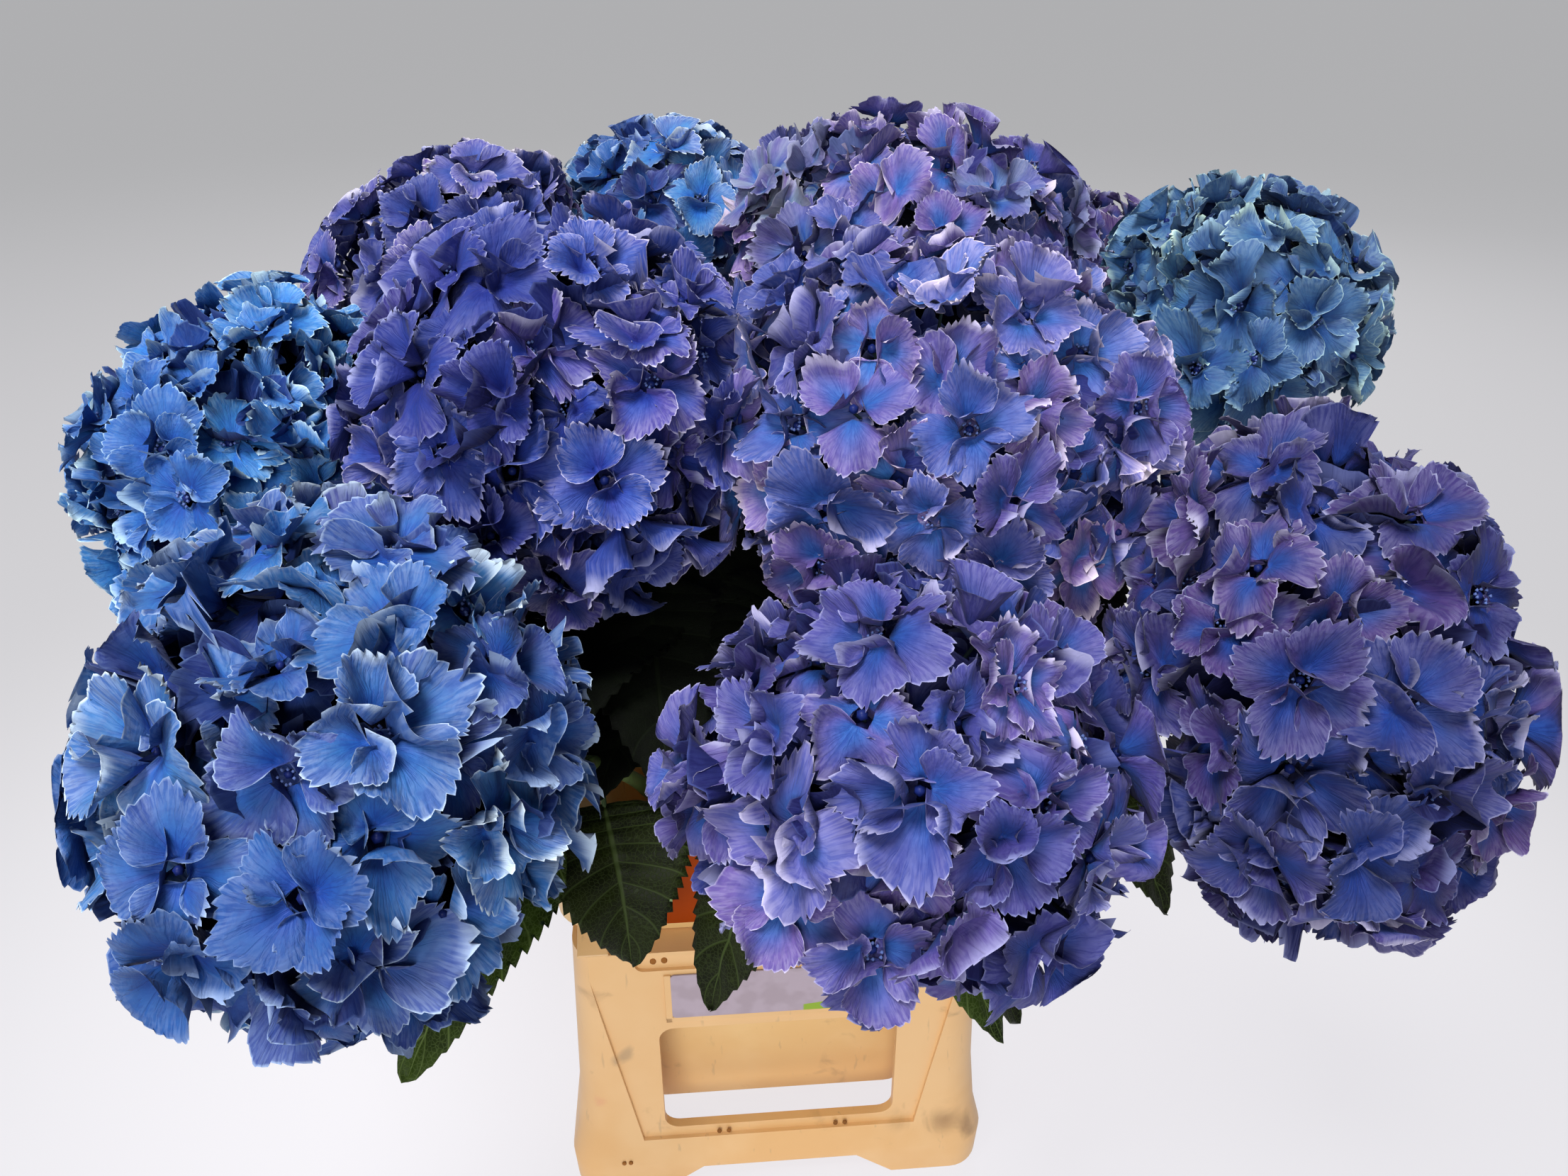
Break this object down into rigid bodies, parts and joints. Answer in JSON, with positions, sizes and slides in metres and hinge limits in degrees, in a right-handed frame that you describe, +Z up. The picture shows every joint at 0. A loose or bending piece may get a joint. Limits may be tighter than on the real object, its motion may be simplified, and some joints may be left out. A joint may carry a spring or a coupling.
{
  "type": "hydrangea stems in a flower bucket",
  "caption": "Cut mophead hydrangea stems with leaves, packed into a domed bunch in a rectangular cream plastic flower bucket with a windowed lower skirt.",
  "frame": {"origin": "on the floor, under the middle of the whole plant's bounding box", "axes": "+Z up; -Y is the short side of the bucket that carries the card; +X to the right of someone facing that side"},
  "size_m": [0.7719, 0.7872, 0.6681],
  "materials": {
    "petals_sky": "soft matt petals, light blue",
    "petals_blue": "soft matt petals, blue",
    "petals_teal": "soft matt petals, greenish blue",
    "petals_violet": "soft matt petals, blue-violet",
    "petals_lilac": "soft matt petals, lilac-blue",
    "leaf": "dark green, faint sheen",
    "stem": "green to brown, matt",
    "cream_plastic": "worn moulded plastic, satin",
    "orange_panel": "worn, matt",
    "card": "plain printed card, satin"
  },
  "bodies": {
    "root": {"skirt_front": "cream_plastic", "skirt_back": "cream_plastic", "skirt_left": "cream_plastic", "skirt_right": "cream_plastic", "bucket": "cream_plastic", "colour_panel": "orange_panel", "card": "card", "head_front_left": "petals_blue", "head_front_centre": "petals_lilac", "head_front_right": "petals_violet", "head_centre": "petals_lilac", "head_centre_left": "petals_violet", "head_left": "petals_sky", "head_back_left": "petals_violet", "head_back_centre": "petals_blue", "head_back_crown": "petals_lilac", "head_back_right": "petals_teal", "head_rear_left": "petals_blue", "head_rear_centre": "petals_lilac", "head_rear_right": "petals_violet", "stem_front_left": "stem", "stem_front_centre": "stem", "stem_front_right": "stem", "stem_centre": "stem", "stem_centre_left": "stem", "stem_left": "stem", "stem_back_left": "stem", "stem_back_centre": "stem", "stem_back_crown": "stem", "stem_back_right": "stem", "stem_rear_left": "stem", "stem_rear_centre": "stem", "stem_rear_right": "stem", "leaf_hanging": "leaf", "leaf_over_card": "leaf", "leaf_low_left": "leaf", "leaf_low_centre": "leaf", "leaf_low_right": "leaf", "leaf_shaded": "leaf", "leaf_shaded_low": "leaf", "leaf_side_left": "leaf", "leaf_side_back_left": "leaf", "leaf_side_right": "leaf", "leaf_side_back_right": "leaf", "leaf_back_left": "leaf", "leaf_back_centre": "leaf", "leaf_back_right": "leaf"}
  },
  "joints": []
}
